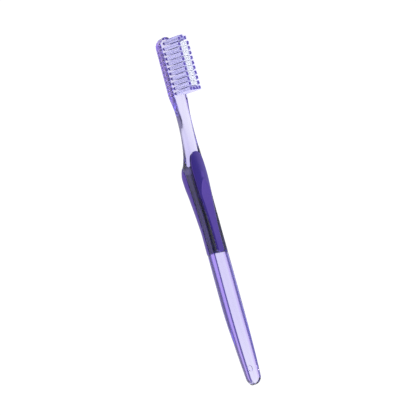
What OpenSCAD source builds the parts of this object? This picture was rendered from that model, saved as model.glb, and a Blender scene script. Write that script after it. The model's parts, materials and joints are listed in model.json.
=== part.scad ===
// A manual toothbrush: one clear moulded handle, two soft grips moulded onto it, and 43 tufts of bristles
// that small metal anchors hold in blind holes in the head. It lies on its back, with its head towards -X,
// its bristles up, and +X along the handle to the tail. The origin is under the middle of its box.
//
// The construction has a frame of its own, in which each module draws: X from the head's end to the tail,
// Y across, Z out of the head's flat face, which is at zero. The module lay_down() then lays it on its back.

/* [Handle lengths] */
// Length of the head, up to its last row of tufts
head_l = 31; // [27:0.5:36]
// Length over which the head narrows to the neck
neck_l = 21; // [16:0.5:28]
// Length over which the neck swells to the bulge under the thumb
swell_l = 23; // [18:0.5:30]
// Length over which the bulge falls to the waist of the handle
fall_l = 32; // [26:0.5:40]
// Length from the waist to the widest place of the lower handle
belly_l = 38; // [30:0.5:48]
// Length over which the lower handle tapers to its round tail
taper_l = 45; // [36:0.5:55]

/* [Handle widths] */
// Width of the head at its first rows of tufts
head_w = 10.5; // [9.5:0.1:12.5]
// Width of the head at its last row of tufts
heel_w = 10.85; // [10:0.05:13]
// Width of the neck
neck_w = 8.85; // [7.5:0.05:10]
// Width at the bulge
bulge_w = 12.8; // [11.5:0.1:15]
// Width at the waist
waist_w = 11.35; // [10:0.05:13]
// Width of the lower handle at its widest place
belly_w = 11.9; // [10.5:0.1:14]
// Width where the round tail begins
tail_w = 9.4; // [8:0.1:11]

/* [Handle thickness] */
// Thickness of the head
head_t = 4.75; // [4.4:0.05:6]
// Thickness of the neck
neck_t = 5.5; // [4.6:0.1:7]
// Thickness at the bulge
bulge_t = 9.8; // [8.5:0.1:12]
// Thickness at the waist
waist_t = 7; // [6:0.1:8.5]
// Thickness of the lower handle at its widest place
belly_t = 6.9; // [5.8:0.1:8.5]
// Thickness where the round tail begins
tail_t = 5; // [4.2:0.05:6.5]
// How far the neck's front lies below the head's face
neck_drop = 0.42; // [0:0.02:1]
// How far the bulge's front lies below the head's face
bulge_drop = 0.7; // [0:0.05:1.2]
// How far the waist's front lies below the head's face
waist_drop = 1.1; // [0.6:0.05:1.8]
// How far the lower handle's front lies below the head's face at its widest place
belly_drop = 0.9; // [0.3:0.05:1.6]
// How far the tail's front lies below the head's face
tail_drop = 0.42; // [0:0.02:1.2]

/* [Handle edges] */
// Radius of the head's front edge
head_front_r = 0.6; // [0.3:0.05:1.2]
// Radius of the head's back edge
head_back_r = 1.4; // [0.8:0.1:2]
// Radius of the neck's front edges
neck_front_r = 1.5; // [0.8:0.1:2.2]
// Height of the neck's rounded back
neck_back_h = 3.8; // [2.6:0.1:4]
// Width of that rounding on each side
neck_back_w = 4.3; // [2.6:0.1:4.4]
// Radius of the bulge's front edges
bulge_front_r = 2.3; // [1.5:0.1:3]
// Radius of the bulge's back edges
bulge_back_r = 3.3; // [2:0.1:4]
// Radius of the lower handle's front edges
handle_front_r = 0.9; // [0.5:0.1:1.5]
// Height of the lower handle's rounded back
handle_back_h = 4.7; // [3:0.1:5.4]
// Width of that rounding on each side
handle_back_w = 3; // [2:0.1:4]
// Length of the head's round end
head_round_l = 5.2; // [4:0.1:6]
// Length of the tail's round end
tail_round_l = 4.7; // [3.5:0.1:6]
// How far the back rises to the tip of the head
head_lift = 1.9; // [0.8:0.1:2]
// How far the back rises to the tip of the tail
tail_lift = 1.8; // [0.8:0.1:2]
// How far the front falls to the tip of the tail
tail_front_fall = 0.9; // [0.2:0.1:1.2]

/* [Thumb grip] */
// How far the thumb pad reaches ahead of the bulge
pad_lead_l = 12.4; // [9:0.1:16]
// How far both grips reach behind the bulge
grip_l = 42.6; // [34:0.2:52]
// Width of the thumb pad
pad_w = 10.8; // [9:0.1:11]
// Width of the strip that follows the pad
strip_w = 5.4; // [4:0.1:7]
// Length over which the pad narrows to the strip
pad_taper_l = 37; // [28:0.5:40]
// Length of the strip's round end
strip_round_l = 2; // [1:0.1:2.5]
// How deep the thumb grip is let into the handle
pad_depth = 1.4; // [0.8:0.1:1.8]
// How far the grip's edge stands out of the handle
pad_lip = 0.12; // [0.05:0.01:0.3]
// Height of the pad's crown over its edge
pad_crown = 0.85; // [0.4:0.05:1.3]
// Height of the flat strip over the handle
strip_rise = 0.45; // [0.3:0.05:0.7]
// How far behind the bulge the flat starts to cut the pad's crown
flat_start = 3.2; // [1:0.1:6]
// Length over which the flat sinks through the crown
flat_l = 7.8; // [5:0.1:11]

/* [Back grip] */
// How far the back grip's tongue reaches ahead of the bulge
tongue_l = 6; // [4:0.1:9]
// Thickness of the back grip at the bulge
back_grip_t = 3.2; // [2:0.1:4]
// Thickness of the back grip at its end
back_grip_end_t = 1.7; // [1:0.1:2.4]
// How far the back grip stands out of the handle
back_proud = 0.2; // [0.1:0.05:0.4]

/* [Tufts] */
// Place of the end row's middle tuft
end_row_x = 2.8; // [2.6:0.1:3.2]
// How far the end row's outer tufts are set back from its middle one
end_row_back = 0.9; // [0.6:0.05:1.2]
// How far the end row's outer tufts stand off the centre line
end_row_side = 2.4; // [2.2:0.05:2.6]
// Place of the second row
second_row_x = 6.6; // [6.2:0.1:7]
// Wall between the outer holes and the head's side
side_wall = 1; // [0.8:0.05:1.2]
// Diameter of a tuft's hole
bore_d = 1.6; // [1.4:0.05:1.8]
// Depth of a tuft's hole
bore_depth = 3.2; // [2.6:0.1:3.4]
// Height of the bristles over the head's face
trim_h = 11.3; // [8:0.1:13]
// Diameter of one bristle strand, taken across its corners
strand_d = 0.33; // [0.2:0.01:0.34]
// Radius of the ring of inner strands at the head's face
inner_ring_r = 0.24; // [0.22:0.01:0.25]
// Radius of the ring of outer strands at the head's face
outer_ring_r = 0.6; // [0.58:0.01:0.62]
// How far an outer strand leans out on its way to the tip
strand_lean = 0.2; // [0:0.01:0.24]

/* [Anchors] */
// Width of an anchor, which bites into the wall on both sides of its hole
anchor_w = 1.9; // [1.85:0.05:2]
// Thickness of an anchor's strip
anchor_t = 0.3; // [0.2:0.02:0.36]
// Height of an anchor
anchor_h = 1.4; // [1:0.1:1.6]
// Thickness of the bristles' fold under an anchor
fold_t = 0.25; // [0.15:0.05:0.4]

/* [Mould mark] */
// Diameter of the plain ring in the back near the tail
mark_d = 3.6; // [2.6:0.1:5]
// Width of that ring's groove
mark_w = 0.4; // [0.3:0.05:0.6]
// Depth of that ring's groove
mark_depth = 0.22; // [0.1:0.02:0.4]
// Distance of the ring's centre from the tail's end
mark_from_end = 9; // [7:0.5:14]

/* [Hidden] */
row_count = 10;
column_count = 4;
inner_strands = 3;
outer_strands = 7;
strand_sides = 4;
anchor_turn = 35;
overrun = 1;
fit_gap = 0.02;
strand_root = 0.3;

outer_names = [for (r = [2:row_count]) str("outer_tufts_", r)];
inner_names = [for (r = [2:row_count]) str("inner_tufts_", r)];
anchor_names = [for (r = [1:row_count + 1]) str("anchors_", r)];

// Places along the brush where one length of the handle ends and the next begins
neck_x = head_l + neck_l;
bulge_x = neck_x + swell_l;
waist_x = bulge_x + fall_l;
belly_x = waist_x + belly_l;
total_l = belly_x + taper_l;
tail_x = total_l - tail_round_l;
grip_end_x = bulge_x + grip_l;
tongue_x = bulge_x - tongue_l;

// Sections between two named ones, each as its share of the way from the first to the second:
// of the place, the width, the thickness, the front's height and the edges
neck_shares = [[0.3, 0.36, -0.2, 0.5, 0.5], [0.6, 0.74, 0.1, 0.85, 1]];
swell_shares = [
    [0.26, 0.07, 0.16, 0.1, 0], [0.52, 0.27, 0.39, 0.3, 0],
    [0.7, 0.54, 0.63, 0.6, 0.3], [0.87, 0.85, 0.93, 0.9, 0.8]
];
fall_shares = [
    [0.16, 0.05, 0.12, 0.3, 0.1], [0.34, 0.38, 0.42, 0.9, 0.3],
    [0.53, 0.69, 0.6, 1, 0.55], [0.75, 0.93, 0.79, 1, 0.85]
];
belly_shares = [[0.25, 0.3, 0.3, 0.25, 0.2], [0.5, 0.7, 0.6, 0.5, 0.5], [0.75, 0.92, 0.85, 0.75, 0.8]];
taper_shares = [[0.25, 0.07, 0.13, 0.2, 0.2], [0.5, 0.25, 0.45, 0.5, 0.5], [0.75, 0.56, 0.7, 0.78, 0.8]];

// One named section holds: place, width, thickness, front height, front radius, height and width of the
// back's rounding
nose = [0, head_w, head_t, 0, head_front_r, head_back_r, head_back_r];
heel = [head_l, heel_w, head_t, 0, head_front_r, head_back_r, head_back_r];
neck = [neck_x, neck_w, neck_t, -neck_drop, neck_front_r, neck_back_h, neck_back_w];
bulge = [bulge_x, bulge_w, bulge_t, -bulge_drop, bulge_front_r, bulge_back_r, bulge_back_r];
waist = [waist_x, waist_w, waist_t, -waist_drop, handle_front_r, handle_back_h, handle_back_w];
belly = [belly_x, belly_w, belly_t, -belly_drop, handle_front_r, handle_back_h, handle_back_w];
tail = [tail_x, tail_w, tail_t, -tail_drop, handle_front_r, handle_back_h, handle_back_w];

function mix(a, b, share) = a + (b - a) * share;
function smooth(share) = share * share * (3 - 2 * share);
function between(a, b, shares) = [for (s = shares) [for (k = [0:6]) mix(a[k], b[k], s[min(k, 4)])]];
stations = concat(
    [nose, heel], between(heel, neck, neck_shares), [neck], between(neck, bulge, swell_shares),
    [bulge], between(bulge, waist, fall_shares), [waist], between(waist, belly, belly_shares),
    [belly], between(belly, tail, taper_shares), [tail]
);

// A smooth curve through the stations that never overshoots them: c is the column to read
last = len(stations) - 1;
function steepness(i, c) = (stations[i + 1][c] - stations[i][c]) / (stations[i + 1][0] - stations[i][0]);
function slope_at(i, c) = i == 0 ? steepness(0, c) : i == last ? steepness(last - 1, c)
    : let (a = steepness(i - 1, c), b = steepness(i, c)) a * b <= 0 ? 0 : 2 * a * b / (a + b);
function stretch_of(x) = max([for (i = [0:last - 1]) if (i == 0 || stations[i][0] <= x) i]);
function at(x, c) = let (
    i = stretch_of(x),
    h = stations[i + 1][0] - stations[i][0],
    u = min(1, max(0, (x - stations[i][0]) / h))
) stations[i][c] * (1 + 2 * u) * (1 - u) ^ 2 + stations[i + 1][c] * (3 - 2 * u) * u ^ 2
    + h * slope_at(i, c) * u * (1 - u) ^ 2 - h * slope_at(i + 1, c) * (1 - u) * u ^ 2;
function width(x) = at(x, 1);
function front(x) = at(x, 3);
function back(x) = at(x, 3) - at(x, 2);

// One cross-section: a flat front with round edges, and a back whose edges are quarters of an ellipse.
// round_share is 1 along the handle and falls towards an end; lift and fall bring its back and front there
corner_steps = 5;
corner_limit = 0.48;
function arc(cy, cz, ry, rz, start) = [for (i = [0:corner_steps])
    let (a = start + 90 * i / corner_steps) [cy + ry * cos(a), cz + rz * sin(a)]];
function section(w, top, bottom, front_r, back_h, back_w) = let (
    room = corner_limit * min(w, top - bottom),
    rf = min(front_r, room),
    rh = min(back_h, 2 * room - rf),
    rw = min(back_w, corner_limit * w)
) concat(
    arc(w / 2 - rf, top - rf, rf, rf, 0), arc(rf - w / 2, top - rf, rf, rf, 90),
    arc(rw - w / 2, bottom + rh, rw, rh, 180), arc(w / 2 - rw, bottom + rh, rw, rh, 270)
);
function ring(x, grow, round_share, lift, fall) = [for (p = section(
    width(x) * round_share + 2 * grow, front(x) - fall + grow, back(x) + lift - grow,
    at(x, 4) + grow, at(x, 5) + grow, at(x, 6) + grow
)) [x, p[0], p[1]]];

// Places of the rings: close together round the two ends, evenly spaced between them
cap_steps = 6;
body_rings = 58;
grip_rings = 22;
function cap_angle(i) = 12 + 78 * i / cap_steps;
function cap_share(i) = (cos(cap_angle(0)) - cos(cap_angle(i))) / cos(cap_angle(0));
head_rings = [for (i = [0:cap_steps - 1]) let (s = cap_share(i))
    ring(head_round_l * s, 0, sin(cap_angle(i)), head_lift * (1 - s) ^ 2, 0)];
middle_places = [for (i = [0:body_rings]) mix(head_round_l, tail_x, i / body_rings)];
middle_rings = [for (x = middle_places) ring(x, 0, 1, 0, 0)];
tail_rings = [for (i = [cap_steps - 1:-1:0]) let (s = cap_share(i))
    ring(total_l - tail_round_l * s, 0, sin(cap_angle(i)), tail_lift * (1 - s) ^ 2,
        tail_front_fall * (1 - s) ^ 2)];
handle_rings = concat(head_rings, middle_rings, tail_rings);
grip_places = [for (i = [0:grip_rings]) mix(tongue_x - overrun, grip_end_x + overrun, i / grip_rings)];
back_grip_rings = [for (x = grip_places) ring(x, back_proud, 1, 0, 0)];

// Joins rings of equal length into one closed skin, whose ends are flat
module skin(rings) {
    n = len(rings[0]);
    m = len(rings);
    points = [for (r = rings) for (p = r) p];
    sides = [for (j = [0:m - 2]) for (i = [0:n - 1]) let (
        a = j * n + i, b = j * n + (i + 1) % n, c = a + n, d = b + n
    ) each [[a, b, d], [a, d, c]]];
    polyhedron(
        points = points,
        faces = concat([[for (i = [n - 1:-1:0]) i]], sides, [[for (i = [0:n - 1]) (m - 1) * n + i]]),
        convexity = 6
    );
}

// How the brush lies on a table: on its bulge and on the lower handle, tail down. Its slope is that of the
// line that touches both from below
bulge_touch = [for (x = grip_places) if (x > tongue_x && x < grip_end_x) [x, back(x) - back_proud]];
handle_touch = [for (x = middle_places) if (x > waist_x + belly_l / 2) [x, back(x)]];
rest_slope = max([for (p = bulge_touch) min([for (q = handle_touch) (q[1] - p[1]) / (q[0] - p[0])])]);
rest_tilt = atan(rest_slope);
laid_x = [for (r = handle_rings) for (p = r) p[0] * cos(rest_tilt) + p[2] * sin(rest_tilt)];
laid_z = [for (p = concat(bulge_touch, handle_touch)) p[1] * cos(rest_tilt) - p[0] * sin(rest_tilt)];
rest_shift = [-(min(laid_x) + max(laid_x)) / 2, 0, -min(laid_z)];

// Middle of the lower handle's flat front, and the way it faces, as the brush lies
face_x = mix(waist_x, belly_x, 0.5);
face_slope = atan((waist_drop - belly_drop) / belly_l) - rest_tilt;
echo(rest_tilt = rest_tilt, flat_front = rest_shift + [
    face_x * cos(rest_tilt) + front(face_x) * sin(rest_tilt), 0,
    front(face_x) * cos(rest_tilt) - face_x * sin(rest_tilt)
], faces = [-sin(face_slope), 0, cos(face_slope)]);
echo(neck_middle = rest_shift + [
    neck_x * cos(rest_tilt) + (front(neck_x) - neck_t / 2) * sin(rest_tilt), 0,
    (front(neck_x) - neck_t / 2) * cos(rest_tilt) - neck_x * sin(rest_tilt)
], along = [cos(rest_tilt), 0, -sin(rest_tilt)]);

module lay_down() {
    translate(rest_shift)
        rotate([0, rest_tilt, 0])
            children();
}

// The thumb grip's outline: a round nose, a smooth taper to the strip, and the strip's round end
pad_x = bulge_x - pad_lead_l;
pad_full_x = bulge_x - flat_start / 2;
nose_power = 0.4;
function pad_half(x, inset) = let (
    nose_share = max(0, (pad_full_x - x) / (pad_full_x - pad_x)),
    taper_share = min(1, max(0, (x - pad_full_x) / pad_taper_l)),
    end_share = min(1, max(0, (x - grip_end_x + strip_round_l) / strip_round_l)),
    nose = max(0, 1 - nose_share ^ 2) ^ nose_power,
    tip = sqrt(max(0, 1 - end_share ^ 2))
) max(0, mix(pad_w, strip_w, smooth(taper_share)) / 2 * nose * tip - inset);
nose_steps = 9;
taper_steps = 12;
tip_steps = 5;
pad_places = concat(
    [for (i = [0:nose_steps - 1]) mix(pad_x, pad_full_x, 1 - cos(90 * i / nose_steps))],
    [for (i = [0:taper_steps]) mix(pad_full_x, grip_end_x - strip_round_l, i / taper_steps)],
    [for (i = [1:tip_steps]) grip_end_x - strip_round_l * (1 - sin(90 * i / tip_steps))]
);
pad_last = len(pad_places) - 1;
module pad_outline(inset) {
    near = [for (i = [1:pad_last - 1]) [pad_places[i], -pad_half(pad_places[i], inset)]];
    far = [for (i = [pad_last - 1:-1:1]) [pad_places[i], pad_half(pad_places[i], inset)]];
    polygon(concat([[pad_x + inset, 0]], near, [[grip_end_x - inset, 0]], far));
}

// A wall across the brush from a line in side view, up or down to a height
module across(points, reach) {
    rotate([90, 0, 0])
        translate([0, 0, -reach / 2])
            linear_extrude(reach)
                polygon(points);
}
reach = 2 * bulge_w;

// The space over the thumb grip's floor, which follows the handle's front
floor_steps = 14;
floor_places = [for (i = [0:floor_steps]) mix(pad_x - overrun, grip_end_x + overrun, i / floor_steps)];
module over_floor(lift) {
    across(concat(
        [for (x = floor_places) [x, front(x) - pad_depth + lift]],
        [[grip_end_x + overrun, bulge_w], [pad_x - overrun, bulge_w]]
    ), reach);
}
module pad_space(inset) {
    intersection() {
        translate([0, 0, -bulge_t])
            linear_extrude(bulge_t + bulge_w)
                pad_outline(inset);
        over_floor(inset);
    }
}

// The thumb grip's top: a crowned pad that falls to a lip at its edge, cut by a flat that sinks through the
// crown behind the bulge and then runs on as the strip
function corner_fall(x, y) = let (r = at(x, 4), over = max(0, abs(y) - width(x) / 2 + r))
    r - sqrt(max(0, r ^ 2 - min(r, over) ^ 2));
function pad_top(x, y, half) = let (
    side_share = half > 0 ? min(1, abs(y) / half) : 1,
    nose_share = min(1, max(0, (x - pad_x) / pad_lead_l)),
    crown = pad_crown * (1 - (1 - nose_share) ^ 2) * (1 - side_share ^ 2),
    flat = strip_rise + (pad_lip + pad_crown - strip_rise) * max(0, bulge_x + flat_start + flat_l - x) / flat_l
) front(x) + min(pad_lip + crown - corner_fall(x, y), flat);
crown_steps = 8;
function pad_ring(x) = let (half = max(pad_half(x, 0), strip_w / 8), low = front(x) - pad_depth - overrun) concat(
    [[x, half + overrun, low], [x, half + overrun, pad_top(x, half, half)]],
    [for (i = [crown_steps:-1:-crown_steps]) let (y = half * sin(90 * i / crown_steps)) [x, y, pad_top(x, y, half)]],
    [[x, -half - overrun, pad_top(x, half, half)], [x, -half - overrun, low]]
);
crown_places = concat(
    [for (i = [0:8]) mix(pad_x - overrun / 2, pad_full_x, i / 8)],
    [for (i = [1:8]) mix(pad_full_x, bulge_x + flat_start + flat_l, i / 8)],
    [for (i = [1:8]) mix(bulge_x + flat_start + flat_l, grip_end_x + overrun / 2, i / 8)]
);

// The space under the back grip's inner line: a tongue that slopes out of the back, then a straight line to
// the grip's end
tongue_steps = 6;
tongue_swell = 0.25;
tongue_full_x = bulge_x - tongue_l / 6;
function inner_line(x) = mix(
    back(bulge_x) + back_grip_t, back(grip_end_x) + back_grip_end_t, (x - bulge_x) / grip_l
);
module under_line(drop) {
    across(concat(
        [for (i = [0:tongue_steps]) let (
            s = i / tongue_steps,
            up = mix(s, sin(90 * s), tongue_swell),
            low = back(tongue_x) - back_proud
        ) [mix(tongue_x, tongue_full_x, s), mix(low, inner_line(tongue_full_x), up) - drop]],
        [[grip_end_x - drop, inner_line(grip_end_x) - drop]],
        [[grip_end_x - drop, -bulge_t - bulge_w], [tongue_x, -bulge_t - bulge_w]]
    ), reach);
}

// Where the tufts stand
row_pitch = (head_l - second_row_x) / (row_count - 1);
side_y = head_w / 2 - side_wall - bore_d / 2;
column_pitch = 2 * side_y / (column_count - 1);
function row_x(r) = second_row_x + row_pitch * (r - 2);
end_places = [
    [end_row_x + end_row_back, -end_row_side], [end_row_x, 0], [end_row_x + end_row_back, end_row_side]
];
function outer_places(r) = [[row_x(r), -side_y], [row_x(r), side_y]];
function inner_places(r) = [[row_x(r), -column_pitch / 2], [row_x(r), column_pitch / 2]];
function row_places(r) = r == 1 ? end_places : concat(outer_places(r), inner_places(r));
all_places = [for (r = [1:row_count + 1]) each row_places(r)];
echo(tufts = len(all_places), strands = len(all_places) * (inner_strands + outer_strands));

// An anchor's strip, standing across its hole; the clearance widens it all round for its seats
module anchor(clearance) {
    rotate([0, 0, anchor_turn])
        translate([-anchor_w / 2 - clearance, -anchor_t / 2 - clearance, fold_t - bore_depth - clearance])
            cube([anchor_w + 2 * clearance, anchor_t + 2 * clearance, anchor_h + 2 * clearance]);
}

// The slit that an anchor cuts on its way down from the head's face
module anchor_path() {
    rotate([0, 0, anchor_turn])
        translate([-anchor_w / 2 - fit_gap, -anchor_t / 2 - fit_gap, fold_t - bore_depth - fit_gap])
            cube([anchor_w + 2 * fit_gap, anchor_t + 2 * fit_gap, bore_depth - fold_t + fit_gap + overrun]);
}

module strand(radius, angle) {
    lean = strand_lean * radius / outer_ring_r;
    rotate([0, 0, angle])
        translate([radius, 0, -strand_root])
            rotate([0, atan(lean / trim_h), 0])
                cylinder(d = strand_d, h = trim_h + strand_root, $fn = strand_sides);
}

// One tuft: its root fills the hole and folds round the anchor, and its strands stand on the root
module tuft() {
    difference() {
        translate([0, 0, fit_gap - bore_depth])
            cylinder(d = bore_d - 2 * fit_gap, h = bore_depth - fit_gap, $fn = 24);
        anchor(fit_gap);
    }
    for (i = [0:inner_strands - 1])
        strand(inner_ring_r, 360 * i / inner_strands);
    for (i = [0:outer_strands - 1])
        strand(outer_ring_r, 360 * i / outer_strands);
}
module tufts(places) {
    lay_down()
        for (p = places)
            translate([p[0], p[1], 0])
                tuft();
}
module violet_tufts(places) {
    color("mediumslateblue")
        tufts(places);
}
module clear_tufts(places) {
    color("aliceblue")
        tufts(places);
}
module anchors(places) {
    color("gold")
        lay_down()
            for (p = places)
                translate([p[0], p[1], 0])
                    anchor(0);
}

// The plain ring that the mould leaves in the back near the tail
mark_x = total_l - mark_from_end;
mark_slope = atan((back(mark_x + mark_d / 2) - back(mark_x - mark_d / 2)) / mark_d);
module mould_mark() {
    translate([mark_x, 0, back(mark_x)])
        rotate([0, -mark_slope, 0])
            difference() {
                translate([0, 0, -overrun])
                    cylinder(d = mark_d, h = overrun + mark_depth, $fn = 48);
                translate([0, 0, -2 * overrun])
                    cylinder(d = mark_d - 2 * mark_w, h = 3 * overrun + mark_depth, $fn = 48);
            }
}

module handle() {
    color("thistle")
        lay_down()
            difference() {
                skin(handle_rings);
                pad_space(0);
                under_line(0);
                for (p = all_places)
                    translate([p[0], p[1], 0]) {
                        translate([0, 0, -bore_depth])
                            cylinder(d = bore_d, h = bore_depth + overrun, $fn = 24);
                        anchor_path();
                    }
                mould_mark();
            }
}

module thumb_grip() {
    color("darkslateblue")
        lay_down()
            intersection() {
                pad_space(fit_gap);
                skin([for (x = crown_places) pad_ring(x)]);
            }
}

module back_grip() {
    color("slateblue")
        lay_down()
            intersection() {
                under_line(fit_gap);
                skin(back_grip_rings);
            }
}

handle();
thumb_grip();
back_grip();
violet_tufts(end_places);  // end_tufts
violet_tufts(row_places(row_count + 1));  // heel_tufts
for (r = [2:row_count]) {
    violet_tufts(outer_places(r));
    clear_tufts(inner_places(r));
}
for (r = [1:row_count + 1])
    anchors(row_places(r));
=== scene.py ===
# %% [markdown]
# # A clear violet toothbrush
# A manual toothbrush is one clear moulded handle, two soft grips that are moulded onto it, and tufts of
# nylon bristles that small metal anchors pin into blind holes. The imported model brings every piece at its
# real size. This lesson gives each of them the surface, the fine shape and the light that the eye expects.

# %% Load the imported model
import json
import math

import bmesh
import bpy
import numpy as np
from mathutils import Matrix, Vector


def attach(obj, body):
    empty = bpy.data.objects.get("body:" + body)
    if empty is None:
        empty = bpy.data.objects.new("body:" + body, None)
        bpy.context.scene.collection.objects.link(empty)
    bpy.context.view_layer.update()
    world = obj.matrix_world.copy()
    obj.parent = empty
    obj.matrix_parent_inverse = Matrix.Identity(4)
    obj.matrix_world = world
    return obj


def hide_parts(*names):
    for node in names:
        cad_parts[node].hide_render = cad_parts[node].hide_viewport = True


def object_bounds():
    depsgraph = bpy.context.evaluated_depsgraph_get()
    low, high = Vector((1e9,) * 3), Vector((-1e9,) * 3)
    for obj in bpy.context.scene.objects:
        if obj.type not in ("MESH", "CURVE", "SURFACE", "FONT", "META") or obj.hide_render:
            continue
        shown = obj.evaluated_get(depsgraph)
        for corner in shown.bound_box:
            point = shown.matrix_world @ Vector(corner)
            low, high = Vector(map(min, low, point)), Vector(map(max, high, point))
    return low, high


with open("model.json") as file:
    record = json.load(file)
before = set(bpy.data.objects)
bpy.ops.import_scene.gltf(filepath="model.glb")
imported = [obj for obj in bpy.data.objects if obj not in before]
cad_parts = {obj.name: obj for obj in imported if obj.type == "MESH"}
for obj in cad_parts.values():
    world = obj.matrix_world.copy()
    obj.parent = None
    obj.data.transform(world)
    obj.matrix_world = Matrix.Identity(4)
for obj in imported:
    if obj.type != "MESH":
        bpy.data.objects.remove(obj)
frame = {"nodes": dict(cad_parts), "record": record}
cad_low, cad_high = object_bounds()
MM = 0.001
print("pieces in the packed model:", len(frame["nodes"]))

# %% [markdown]
# ## The brush's own frame
# The brush lies tilted on its bulge and its lower handle, which makes every formula slanted. It is easier to
# model it upright on the page: X from the head to the tail, Y across, Z out of the head's face.

# %% The places along the handle, in millimetres
HEAD_L, NECK_L, SWELL_L, FALL_L, BELLY_L, TAPER_L = 31, 21, 23, 32, 38, 45
NECK_X = HEAD_L + NECK_L
BULGE_X = NECK_X + SWELL_L
WAIST_X = BULGE_X + FALL_L
BELLY_X = WAIST_X + BELLY_L
TOTAL_L = BELLY_X + TAPER_L
HEAD_ROUND_L, TAIL_ROUND_L = 5.2, 4.7
TAIL_X = TOTAL_L - TAIL_ROUND_L
print("length of the brush in its own frame, in mm:", TOTAL_L)

# %% [markdown]
# The handle swells and thins in a way that no single formula holds. A pattern maker would cut card templates
# for a few places along it, and the named sections below are just that.

# %% The named sections
# Place, width, thickness, height of the front, radius of the front edges, and height and width of the
# rounding at the back edges
PLACE, WIDTH, THICKNESS, FRONT, FRONT_EDGE, BACK_EDGE_H, BACK_EDGE_W = range(7)
NOSE = (0, 10.5, 4.75, 0, 0.6, 1.4, 1.4)
HEEL = (HEAD_L, 10.85, 4.75, 0, 0.6, 1.4, 1.4)
NECK = (NECK_X, 8.85, 5.5, -0.42, 1.5, 3.8, 4.3)
BULGE = (BULGE_X, 12.8, 9.8, -0.7, 2.3, 3.3, 3.3)
WAIST = (WAIST_X, 11.35, 7, -1.1, 0.9, 4.7, 3)
BELLY = (BELLY_X, 11.9, 6.9, -0.9, 0.9, 4.7, 3)
TAIL = (TAIL_X, 9.4, 5, -0.42, 0.9, 4.7, 3)

# %% [markdown]
# Between two of them the form grows unevenly. Each section in between says what share of the way each size
# has come, so it follows when a named section changes.

# %% The sections between them
# The shares of place, width, thickness, front and edges
NECK_SHARES = ((0.3, 0.36, -0.2, 0.5, 0.5), (0.6, 0.74, 0.1, 0.85, 1))
SWELL_SHARES = (
    (0.26, 0.07, 0.16, 0.1, 0), (0.52, 0.27, 0.39, 0.3, 0),
    (0.7, 0.54, 0.63, 0.6, 0.3), (0.87, 0.85, 0.93, 0.9, 0.8),
)
FALL_SHARES = (
    (0.16, 0.05, 0.12, 0.3, 0.1), (0.34, 0.38, 0.42, 0.9, 0.3),
    (0.53, 0.69, 0.6, 1, 0.55), (0.75, 0.93, 0.79, 1, 0.85),
)
BELLY_SHARES = ((0.25, 0.3, 0.3, 0.25, 0.2), (0.5, 0.7, 0.6, 0.5, 0.5), (0.75, 0.92, 0.85, 0.75, 0.8))
TAPER_SHARES = ((0.25, 0.07, 0.13, 0.2, 0.2), (0.5, 0.25, 0.45, 0.5, 0.5), (0.75, 0.56, 0.7, 0.78, 0.8))


def mix(a, b, share):
    return a + (b - a) * share


def between(a, b, shares):
    """Sections on the way from section a to section b."""
    return [[mix(a[k], b[k], s[min(k, FRONT_EDGE)]) for k in range(len(a))] for s in shares]


STATIONS = np.array(
    [NOSE, HEEL, *between(HEEL, NECK, NECK_SHARES), NECK, *between(NECK, BULGE, SWELL_SHARES),
     BULGE, *between(BULGE, WAIST, FALL_SHARES), WAIST, *between(WAIST, BELLY, BELLY_SHARES),
     BELLY, *between(BELLY, TAIL, TAPER_SHARES), TAIL], float
)
print("sections along the handle:", len(STATIONS))

# %% [markdown]
# The sections are joined by a curve that is smooth and yet never overshoots: at each section its slope is
# the harmonic mean of the slopes on both sides, and it is level where the size turns round.

# %% Read any size of the handle at any place


def slopes(column):
    """The curve's slope at each station."""
    steps = np.diff(STATIONS[:, column]) / np.diff(STATIONS[:, PLACE])
    before, after = steps[:-1], steps[1:]
    total = np.where(before * after > 0, before + after, 1)
    inner = np.where(before * after > 0, 2 * before * after / total, 0)
    return np.concatenate([steps[:1], inner, steps[-1:]])


def size_at(x, column):
    """One size of the handle at the places x."""
    x = np.asarray(x, float)
    i = np.clip(np.searchsorted(STATIONS[:, PLACE], x, side="right") - 1, 0, len(STATIONS) - 2)
    start, end = STATIONS[i], STATIONS[i + 1]
    step = end[..., PLACE] - start[..., PLACE]
    u = np.clip((x - start[..., PLACE]) / step, 0, 1)
    tangent = slopes(column)
    return (
        start[..., column] * (1 + 2 * u) * (1 - u) ** 2 + end[..., column] * (3 - 2 * u) * u**2
        + step * tangent[i] * u * (1 - u) ** 2 - step * tangent[i + 1] * (1 - u) * u**2
    )


def width(x):
    return size_at(x, WIDTH)


def front(x):
    return size_at(x, FRONT)


def back(x):
    return size_at(x, FRONT) - size_at(x, THICKNESS)


print("width at the neck and the bulge in mm:", float(width(NECK_X)), float(width(BULGE_X)))

# %% [markdown]
# ## The way home
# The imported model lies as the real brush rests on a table. Its mount at the neck tells where the neck's
# middle is and which way the handle runs there. One turn and one shift therefore bring each finished mesh
# home. They go into the mesh and not into the object, because a finished piece sits at the origin unturned.

# %% Find the way home from the brush's frame
neck_mount = next(m for m in frame["record"]["mounts"] if m["name"] == "neck_slot")
along = Vector(neck_mount["axis"])
tilt_angle = math.atan2(-along.z, along.x)
tilt = Matrix.Rotation(tilt_angle, 4, "Y")
neck_middle = Vector((NECK_X, 0, float(front(NECK_X)) - NECK[THICKNESS] / 2)) * MM
home = Matrix.Translation(Vector(neck_mount["pos_m"]) - tilt @ neck_middle) @ tilt
print("tilt of the brush in degrees:", round(math.degrees(tilt_angle), 3))

# %% [markdown]
# ## The camera
# The picture is taken from far away with a long lens, which keeps parallel edges parallel, so the camera
# stands 5 m off. Two angles say from which side it looks and a third how it is rolled. They are easier to
# set one by one than a matrix is.

# %% Place the camera
CAMERA_AZIMUTH, CAMERA_ELEVATION, CAMERA_ROLL = 8.603, 40.479, 67.568
CAMERA_DISTANCE = 5.0
FIELD = 0.2193
LOOK_AT_MM = (93.4, 0, -2.165)
SENSOR = 36.0


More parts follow.
